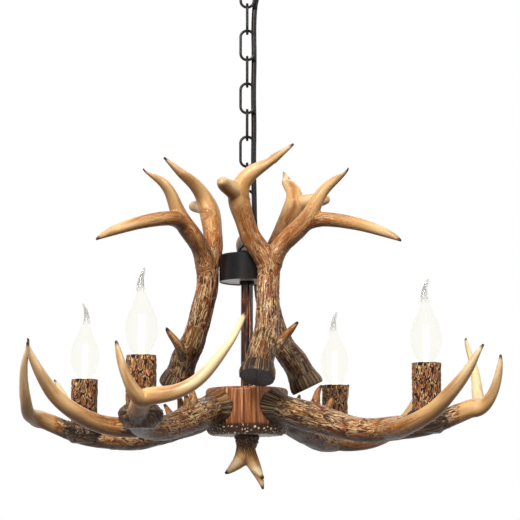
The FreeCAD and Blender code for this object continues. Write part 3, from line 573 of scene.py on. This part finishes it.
def thin_glass():
    """Thin blown soda glass: clear, with a faint grey edge, and greyer where its tip is drawn out solid."""
    drawn_from, drawn_to = 0.066, 0.080  # metres above the glass's foot
    material, tree, shader = new_material("blown_glass")
    shader.inputs["Base Color"].default_value = linear("#D6D3CE")
    shader.inputs["Roughness"].default_value = 0.02
    shader.inputs["IOR"].default_value = 1.45
    shader.inputs["Transmission Weight"].default_value = 1.0
    clear = add(tree, "ShaderNodeBsdfTransparent", inputs={"Color": linear("#FEFEFC")})
    facing = add(tree, "ShaderNodeLayerWeight", inputs={"Blend": 0.22}).outputs["Facing"]
    edge = mask(tree, facing, [(0.0, 0), (0.70, 0.03), (0.95, 0.85)])
    place = add(tree, "ShaderNodeTexCoord").outputs["Object"]
    height = add(tree, "ShaderNodeSeparateXYZ", links={0: place}).outputs["Z"]
    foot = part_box("bulb_glass_1")[0].z
    solid = add(tree, "ShaderNodeMapRange", inputs={
        "From Min": foot + drawn_from, "From Max": foot + drawn_to, "To Min": 0.0, "To Max": 0.85},
        links={"Value": height}).outputs[0]
    share = calculate(tree, "ADD", edge, solid, clamp=True)
    both = add(tree, "ShaderNodeMixShader", links={0: share, 1: clear.outputs[0], 2: shader.outputs[0]})
    tree.links.new(both.outputs[0], tree.nodes["Material Output"].inputs["Surface"])
    return material


def lit_phosphor():
    """Filament sticks coated with yellow phosphor, lit to a warm white."""
    material, _, shader = new_material("lit_phosphor")
    shader.inputs["Base Color"].default_value = linear("#FFE7B8")
    shader.inputs["Emission Color"].default_value = linear("#FFE9BE")
    shader.inputs["Emission Strength"].default_value = 1.6
    return material


# ---------------------------------------------------------------- castings

class Run:
    """One beam or tine: where it goes, its radius, and how far it is from the casting's root."""

    def __init__(self, sections, parent=None):
        table = np.array(sections, float)
        self.points, self.radii = table[:, :3], table[:, 3]
        steps = np.linalg.norm(np.diff(self.points, axis=0), axis=1)
        self.reach = np.concatenate([[0], np.cumsum(steps)])
        self.start = parent.measure(self.points[:1])["reach"][0] if parent else 0.0
        side, self.sides = np.array([0.3, 0.2, 1.0]), []
        for index in range(len(self.points)):
            ahead = self.points[min(index + 1, len(self.points) - 1)] - self.points[max(index - 1, 0)]
            ahead /= np.linalg.norm(ahead)
            side = side - ahead * side.dot(ahead)
            side /= np.linalg.norm(side)
            self.sides.append(side)

    def measure(self, places):
        """Nearness (1 on the skin), reach along the run and turn round it, for each place."""
        nearness = np.full(len(places), 1e9)
        found = {key: np.zeros(len(places)) for key in ("reach", "radius", "turn")}
        for i in range(len(self.points) - 1):
            start, step = self.points[i], self.points[i + 1] - self.points[i]
            share = np.clip((places - start) @ step / step.dot(step), 0, 1)
            off = places - (start + share[:, None] * step)
            radius = self.radii[i] + share * (self.radii[i + 1] - self.radii[i])
            near = np.linalg.norm(off, axis=1) / radius
            side = self.sides[i] + share[:, None] * (self.sides[i + 1] - self.sides[i])
            across = np.cross(step / np.linalg.norm(step), side)
            turn = np.arctan2((off * across).sum(1), (off * side).sum(1))
            better = near < nearness
            nearness = np.where(better, near, nearness)
            for key, numbers in (("radius", radius), ("turn", turn),
                                 ("reach", self.reach[i] + share * np.linalg.norm(step))):
                found[key] = np.where(better, numbers, found[key])
        found["nearness"] = nearness
        return found


def read_runs(local, trunk, tines):
    """Each place read off all runs, weighted by nearness: its map, reach, way left to the tip and radius."""
    weights, maps, reaches, left, radii = [], [], [], [], []
    for run in [trunk] + [Run(tine, trunk) for tine in tines]:
        found = run.measure(local)
        girth, reach = found["radius"], run.start + found["reach"]
        weights.append(np.clip(found["nearness"], 0.2, None) ** -14.0)
        maps.append(np.stack([np.cos(found["turn"]) * girth, np.sin(found["turn"]) * girth, reach], axis=1))
        reaches.append(reach)
        left.append(run.reach[-1] - found["reach"])
        radii.append(girth)
    weights = np.array(weights)
    weights /= weights.sum(0)
    run_map = (weights[:, :, None] * np.array(maps)).sum(0)
    reach, to_tip, girth = [(weights * np.array(numbers)).sum(0) for numbers in (reaches, left, radii)]
    return run_map, reach, to_tip, girth


def carve(piece, beam, tines, to_local, smoothness, candle=None, fade=0.8):
    """Gives a casting its ridges, burr knobs and paint maps from the runs of its beam and tines, and a map of
    painted shade on its undersides.
    """
    sizes = bpy.context.scene.chandelier_sizes
    apply(piece, "REMESH", mode="VOXEL", voxel_size=sizes.casting_grain, adaptivity=0)
    apply(piece, "SMOOTH", factor=0.5, iterations=smoothness)
    mesh = piece.data
    points = coordinates(mesh)
    skyward = normals(mesh)[:, 2]
    local = (np.c_[points, np.ones(len(points))] @ np.array(to_local).T)[:, :3] / MM
    trunk = Run(beam)
    run_map, reach, to_tip, girth = read_runs(local, trunk, tines)
    age = np.clip(1 - reach / (trunk.reach[-1] * fade), 0, 1)
    age = np.clip(age * (0.55 + 0.45 * ramp_between(to_tip, 8, 60)), 0, 1)
    furrows = ridged(run_map * RIDGE_GRAIN)
    waves = lumps(run_map * WAVE_GRAIN)
    depth = sizes.ridge_depth * ramp_between(age, 0.15, 0.75)
    burr = ramp_between(-reach, -16, -6)
    knob = knobs(run_map * BURR_GRAIN)
    offset = depth * (furrows - 0.55) * ramp_between(girth, 2.0, 9.0) + 0.5 * MM * waves * age
    offset += sizes.burr_depth * burr * (knob - 0.45)
    relief = np.clip(furrows * (1 - burr) + knob * burr, 0, 1)
    # The beam's flat end, where the casting was sawn square.
    ahead = trunk.points[1] - trunk.points[0]
    above_end = (local - trunk.points[0]) @ ahead / np.linalg.norm(ahead)
    cut = ramp_between(-above_end, -1.3, -0.6)
    offset *= 1 - cut
    if candle is not None:
        out = np.hypot(local[:, 0] - candle[0], local[:, 1] - candle[1])
        seat = ramp_between(-out, -27, -24) * ramp_between(local[:, 2], candle[2] - 22, candle[2] - 16)
        plates = knobs(local * SEAT_GRAIN)
        offset = offset * (1 - seat) + seat * ramp_between(out, 17.5, 19) * 1.4 * MM * (plates - 0.5)
        relief = relief * (1 - seat) + plates * seat
        age = np.maximum(age, 0.75 * ramp_between(-out, -44, -25)) * (1 - seat) + 0.96 * seat
    set_coordinates(mesh, points + normals(mesh) * offset[:, None])
    # The pattern is packed closer on the burr.
    run_map[:, 2] -= 3 * np.clip(16 - reach, 0, None)
    write_vector(mesh, "run", run_map)
    tip = ramp_between(-to_tip, -7, -2) * ramp_between(-girth, -3.3, -2.6)
    # Painted shade on the undersides: the more a face looks down, the more of it.
    under = ramp_between(-skyward, -0.1, 0.9)
    for key, numbers in (("age", age), ("relief", relief), ("tip", tip), ("cut", cut), ("under", under)):
        write_number(mesh, key, numbers)
    smooth(piece, 60)
    return piece


def seat_on(node, angle):
    """Takes a casting's own millimetres to its first place on a round node's wall, in metres."""
    low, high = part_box(node)
    turn = math.radians(angle)
    return Matrix.Translation((high.x * math.cos(turn), high.x * math.sin(turn), (low.z + high.z) / 2))


def dress_ring(first, count, name, node, material):
    """Turns a casting round the stem in equal steps and hangs all of them on the fixture."""
    ring = [first]
    for step in range(1, count):
        turn = Matrix.Rotation(math.radians(-step * 360 / count), 4, "Z")
        ring.append(turned_copy(first, name % (step + 1), turn))
    for number, casting in enumerate(ring, start=1):
        finish_piece(casting, "fixture", material, node % number)


class CHANDELIER_OT_lower_antlers(bpy.types.Operator):
    """Four lower antlers with carved ridges, burrs and candle seats"""
    bl_idname = "chandelier.lower_antlers"
    bl_label = "Lower antlers"

    def execute(self, context):
        home = seat_on("hub", ROOT_ANGLE)
        first = carve(copy_of("lower_antler_1", "antler_arm_1"), ARM_BEAM, ARM_TINES,
                      home.inverted(), 6, candle=CANDLE_SEAT)
        resin = painted_resin("painted_resin_lower", "#2A110A")
        dress_ring(first, ARMS, "antler_arm_%d", "lower_antler_%d", resin)
        return {"FINISHED"}


class CHANDELIER_OT_upper_antlers(bpy.types.Operator):
    """Three upper antlers round the cup, and the finial under the hub"""
    bl_idname = "chandelier.upper_antlers"
    bl_label = "Upper antlers and finial"

    def execute(self, context):
        home = seat_on("crown_cup", CROWN_ANGLE)
        whole = new_tip(copy_of("upper_antler_1", "antler_crown_1"), CROWN_BEAM, home)
        first = carve(whole, CROWN_BEAM, CROWN_TINES, home.inverted(), 6, fade=1.0)
        resin = painted_resin("painted_resin_upper", "#32170C")
        dress_ring(first, CROWN, "antler_crown_%d", "upper_antler_%d", resin)
        under = Matrix.Translation((0, 0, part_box("hub")[0].z))
        finial = carve(copy_of("finial", "finial_antler"), FINIAL_BEAM, FINIAL_TINES,
                       under.inverted(), 2, fade=0.6)
        finish_piece(finial, "fixture", resin, "finial")
        return {"FINISHED"}


# ---------------------------------------------------------------- hub, sleeves, bulbs

class CHANDELIER_OT_hub(bpy.types.Operator):
    """The hub with upright grain and a ragged bark foot"""
    bl_idname = "chandelier.hub"
    bl_label = "Hub"

    def execute(self, context):
        hub = copy_of("hub", "turned_hub")
        apply(hub, "REMESH", mode="VOXEL", voxel_size=1.0 * MM, adaptivity=0)
        apply(hub, "SMOOTH", factor=0.5, iterations=4)
        mesh = hub.data
        points = coordinates(mesh)
        out = np.hypot(points[:, 0], points[:, 1])
        height = (points[:, 2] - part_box("hub")[0].z) / MM
        skin = ramp_between(out / MM, 36, 40)
        foot = ramp_between(-height, -15, -7) * skin
        grain = ridged(points / MM * [0.40, 0.40, 0.012])
        chips = knobs(points / MM * [0.26, 0.26, 0.24])
        offset = skin * (1 - foot) * 0.5 * MM * (grain - 0.6) + foot * 1.8 * MM * (chips - 0.6)
        set_coordinates(mesh, points + normals(mesh) * offset[:, None])
        # The foot is darkened fully, and the wall above it darkens towards the bottom over its lowest 30 mm.
        write_number(mesh, "age", np.clip(foot + 0.35 * ramp_between(-height, -30, -10) * skin, 0, 1))
        write_number(mesh, "relief", chips * foot + grain * (1 - foot) * 0.5)
        smooth(hub, 60)
        finish_piece(hub, "fixture", stained_wood(), "hub")
        return {"FINISHED"}


class CHANDELIER_OT_candles(bpy.types.Operator):
    """Bark sleeves, clear bulbs and their lit filaments"""
    bl_idname = "chandelier.candles"
    bl_label = "Candles"

    def sleeve(self, name, node):
        """A tube of bark: a cylinder cut fine, its furrows pushed in, and a wall set inside it."""
        around, rings, wall = 200, 75, 2.0 * MM
        low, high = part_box(node)
        middle, tall = (low + high) / 2, high.z - low.z
        deselect()
        bpy.ops.mesh.primitive_cylinder_add(vertices=around, radius=(high.x - low.x) / 2, depth=tall,
                                            end_fill_type="NOTHING", location=middle)
        piece = bpy.context.object
        piece.name = name
        bpy.ops.object.transform_apply(location=True, rotation=False, scale=False)
        bpy.ops.object.mode_set(mode="EDIT")
        bpy.ops.mesh.select_all(action="SELECT")
        shape = bmesh.from_edit_mesh(piece.data)
        upright = [edge for edge in shape.edges if abs(edge.verts[0].co.z - edge.verts[1].co.z) > tall / 2]
        bmesh.ops.subdivide_edges(shape, edges=upright, cuts=rings)
        bmesh.update_edit_mesh(piece.data)
        bpy.ops.object.mode_set(mode="OBJECT")
        points = coordinates(piece.data)
        local = (points - np.array(middle)) / MM
        noise.seed_set(SWAY_SEED)
        sway = np.array([noise.noise_vector(Vector(p)) for p in local * [0.15, 0.15, 0.10]])
        furrows = ridged(local * [0.22, 0.22, 0.06] + np.array(middle) * 900)
        plates = knobs(local * [0.42, 0.42, 0.135] + 0.35 * sway + np.array(middle) * 700)
        relief = np.clip(0.28 * furrows + 0.85 * plates, 0, 1)
        depth = bpy.context.scene.chandelier_sizes.bark_depth
        out = np.hypot(local[:, 0], local[:, 1])[:, None]
        local[:, :2] *= 1 + (relief[:, None] - 1.0) * depth / MM / out
        set_coordinates(piece.data, local * MM + np.array(middle))
        write_vector(piece.data, "run", local)
        write_number(piece.data, "relief", relief)
        apply(piece, "SOLIDIFY", thickness=wall, offset=-1, use_rim=True, use_even_offset=False)
        smooth(piece, 70)
        return piece

    def execute(self, context):
        bark, glass, lit = bark_resin(), thin_glass(), lit_phosphor()
        for number in range(1, ARMS + 1):
            node = "candle_sleeve_%d" % number
            finish_piece(self.sleeve("bark_sleeve_%d" % number, node), "fixture", bark, node)
            paint(frame["nodes"]["bulb_glass_%d" % number], glass)
            paint(frame["nodes"]["bulb_filament_%d" % number], lit)
        return {"FINISHED"}


# ---------------------------------------------------------------- cable and metal

class CHANDELIER_OT_cable(bpy.types.Operator):
    """The supply cable beside the chain, in one length per link so that it bends with the chain"""
    bl_idname = "chandelier.cable"
    bl_label = "Supply cable"

    def route(self, radius):
        """The cable in one piece, along its route."""
        curve = bpy.data.curves.new("cable_route", "CURVE")
        curve.dimensions = "3D"
        spline = curve.splines.new("NURBS")
        spline.points.add(len(CABLE_ROUTE) - 1)
        for point, place in zip(spline.points, CABLE_ROUTE):
            point.co = (*[number * MM for number in place], 1)
        spline.order_u = 3
        spline.use_endpoint_u = True
        spline.resolution_u = 14
        curve.bevel_depth = radius
        curve.bevel_resolution = 5
        curve.use_fill_caps = True
        pick(place_new("cable_route", curve))
        bpy.ops.object.convert(target="MESH")
        bpy.ops.object.mode_set(mode="EDIT")
        bpy.ops.mesh.select_all(action="SELECT")
        bpy.ops.mesh.remove_doubles(threshold=0.00001)
        bpy.ops.mesh.normals_make_consistent(inside=False)
        bpy.ops.object.mode_set(mode="OBJECT")
        return bpy.context.object

    def execute(self, context):
        sheath = plain_finish("cable_sheath", "#120A08", "#1E120E", 0.38, scale=300.0, specular=0.2)
        whole = self.route(context.scene.chandelier_sizes.cable_radius)
        bodies = ["ceiling_mount"] + ["link_%02d" % n for n in range(1, 11)] + ["fixture"]
        hinges = {joint["child"]: joint["pos_m"][2] for joint in frame["joints"]}
        heights = [hinges[body] for body in bodies[1:]]
        # Each length hangs on one link. It passes its hinges by a lap, so no gap opens as the chain sways.
        lap = 1.6 * MM
        tops = [1.0] + [height + lap for height in heights]
        feet = [height - lap for height in heights] + [-1.0]
        for number, (body, top, foot) in enumerate(zip(bodies, tops, feet), start=1):
            piece = place_new("cable_length_%02d" % number, whole.data.copy())
            shape = bmesh.new()
            shape.from_mesh(piece.data)
            for height, outward in ((top, 1), (foot, -1)):
                bmesh.ops.bisect_plane(shape, geom=shape.verts[:] + shape.edges[:] + shape.faces[:],
                                       dist=MERGE, plane_co=(0, 0, height), plane_no=(0, 0, outward),
                                       clear_outer=True)
                close_holes(shape)
            shape.to_mesh(piece.data)
            shape.free()
            smooth(piece, 40)
            finish_piece(piece, body, sheath, "supply_cable")
        bpy.data.objects.remove(whole)
        return {"FINISHED"}


class CHANDELIER_OT_metal(bpy.types.Operator):
    """Finishes of the CAD nodes that keep their shape: chain, loops, cup, stem, canopy and fittings"""
    bl_idname = "chandelier.metal"
    bl_label = "Metal and fittings"

    def execute(self, context):
        finishes = {
            "black_metal": black_enamel(),
            "dark_bronze": rubbed_bronze(),
            "pale_plate": plain_finish("pale_satin_paint", "#B9B7B2", "#CFCDC8", 0.35),
            "plated_steel": plain_finish("zinc_plate", "#8E8F90", "#B5B6B6", 0.3, metallic=1.0),
            "cap_brass": plain_finish("nickelled_brass", "#B79A5C", "#D3BC84", 0.22, metallic=1.0),
            "black_plastic": plain_finish("black_polyamide", "#0D0D0D", "#181818", 0.45),
            "white_plastic": plain_finish("white_polyamide", "#D9D8D2", "#ECEBE6", 0.4),
            "stained_wood": plain_finish("stained_plate", "#3A1D10", "#5C3018", 0.4, scale=60.0),
        }
        for entry in frame["record"]["subparts"]:
            finish = finishes.get(entry["material_slot"])
            if finish is None:
                continue
            paint(frame["nodes"][entry["node"]], finish)
        return {"FINISHED"}


# ---------------------------------------------------------------- stage

def seen(tree, path):
    """1 for rays from the eye, through glass or off gloss, and 0 for those that only light the object."""
    share = path.outputs["Is Camera Ray"]
    for ray in ("Is Transmission Ray", "Is Glossy Ray"):
        share = calculate(tree, "MAXIMUM", share, path.outputs[ray])
    return share


class CHANDELIER_OT_stage(bpy.types.Operator):
    """Pale floor, soft studio lamps, white surroundings and the camera"""
    bl_idname = "chandelier.stage"
    bl_label = "Stage"

    def floor(self):
        """Pale to the eye and in reflections, and dimmer as a source of light, so undersides stay dark."""
        deselect()
        bpy.ops.mesh.primitive_plane_add(size=14, location=(0, 0, -1.9))
        floor = bpy.context.object
        floor.name = "floor"
        material, tree, shader = new_material("pale_floor")
        path = add(tree, "ShaderNodeLightPath")
        spread = mix(tree, linear("#F1F1F0"), linear("#6E6E6E"), path.outputs["Is Diffuse Ray"])
        tree.links.new(spread, shader.inputs["Base Color"])
        shader.inputs["Roughness"].default_value = 0.8
        shader.inputs["Emission Color"].default_value = linear("#FFFFFF")
        tree.links.new(times(tree, seen(tree, path), 0.62), shader.inputs["Emission Strength"])
        floor.data.materials.append(material)

    def surroundings(self, scene):
        """White to the eye, with a soft light that is brighter from above than from below."""
        world = bpy.data.worlds.new("studio")
        scene.world = world
        world.use_nodes = True
        tree = world.node_tree
        tree.nodes.clear()
        path = add(tree, "ShaderNodeLightPath")
        sky = add(tree, "ShaderNodeTexCoord").outputs["Generated"]
        level = add(tree, "ShaderNodeSeparateXYZ", links={0: sky}).outputs["Z"]
        strength = add(tree, "ShaderNodeMapRange", inputs={
            "From Min": -0.6, "From Max": 0.6, "To Min": 0.05, "To Max": 0.34}, links={"Value": level})
        dim = add(tree, "ShaderNodeBackground", inputs={"Color": linear("#FFFFFF")},
                  links={"Strength": strength.outputs[0]})
        white = add(tree, "ShaderNodeBackground", inputs={"Color": linear("#FFFFFF"), "Strength": 1.0})
        both = add(tree, "ShaderNodeMixShader",
                   links={0: seen(tree, path), 1: dim.outputs[0], 2: white.outputs[0]})
        add(tree, "ShaderNodeOutputWorld", links={"Surface": both.outputs[0]})

    def lamp(self, name, place, size, power):
        """An area lamp that faces the middle of the chandelier."""
        light = bpy.data.lights.new(name, "AREA")
        light.shape = "RECTANGLE"
        light.size, light.size_y = size
        light.energy = power
        lamp = place_new(name, light)
        lamp.location = place
        middle = Vector((0, 0, -0.45))
        lamp.rotation_euler = (middle - Vector(place)).to_track_quat("-Z", "Y").to_euler()

    def execute(self, context):
        scene = context.scene
        self.floor()
        self.surroundings(scene)
        self.lamp("key_lamp", (-0.7, -1.9, 0.8), (0.7, 0.7), 78)
        self.lamp("fill_lamp", (1.7, -1.2, 0.3), (0.8, 1.4), 14)
        self.lamp("rim_lamp", (0.6, 1.8, 0.7), (1.2, 0.8), 6)
        camera = bpy.data.cameras.new("camera")
        camera.lens = 129.1
        camera.sensor_width = 36
        viewer = place_new("camera", camera)
        viewer.location = (0.015, -2.128, -0.704)
        viewer.rotation_euler = (math.radians(98.4), 0, 0)
        scene.camera = viewer
        scene.view_settings.view_transform = "Standard"
        return {"FINISHED"}


STEPS = [
    CHANDELIER_OT_stage,
    CHANDELIER_OT_cable,
    CHANDELIER_OT_metal,
    CHANDELIER_OT_lower_antlers,
    CHANDELIER_OT_upper_antlers,
    CHANDELIER_OT_hub,
    CHANDELIER_OT_candles,
]


class CHANDELIER_PT_panel(bpy.types.Panel):
    """Lists the chandelier's steps in their order"""
    bl_idname = "CHANDELIER_PT_panel"
    bl_label = "Chandelier"
    bl_space_type = "VIEW_3D"
    bl_region_type = "UI"
    bl_category = "Chandelier"

    def draw(self, context):
        for group in (context.scene.chandelier_sizes, context.scene.chandelier_colours):
            for key in group.__annotations__:
                self.layout.prop(group, key)
        for step in STEPS:
            self.layout.operator(step.bl_idname)


CLASSES = [ChandelierSizes, ChandelierColours] + STEPS + [CHANDELIER_PT_panel]


def register():
    for item in CLASSES:
        bpy.utils.register_class(item)
    bpy.types.Scene.chandelier_sizes = bpy.props.PointerProperty(type=ChandelierSizes)
    bpy.types.Scene.chandelier_colours = bpy.props.PointerProperty(type=ChandelierColours)


def unregister():
    del bpy.types.Scene.chandelier_colours
    del bpy.types.Scene.chandelier_sizes
    for item in reversed(CLASSES):
        bpy.utils.unregister_class(item)


def main():
    register()
    for step in STEPS:
        getattr(bpy.ops.chandelier, step.bl_idname.split(".")[1])()


if __name__ == "__main__":
    main()
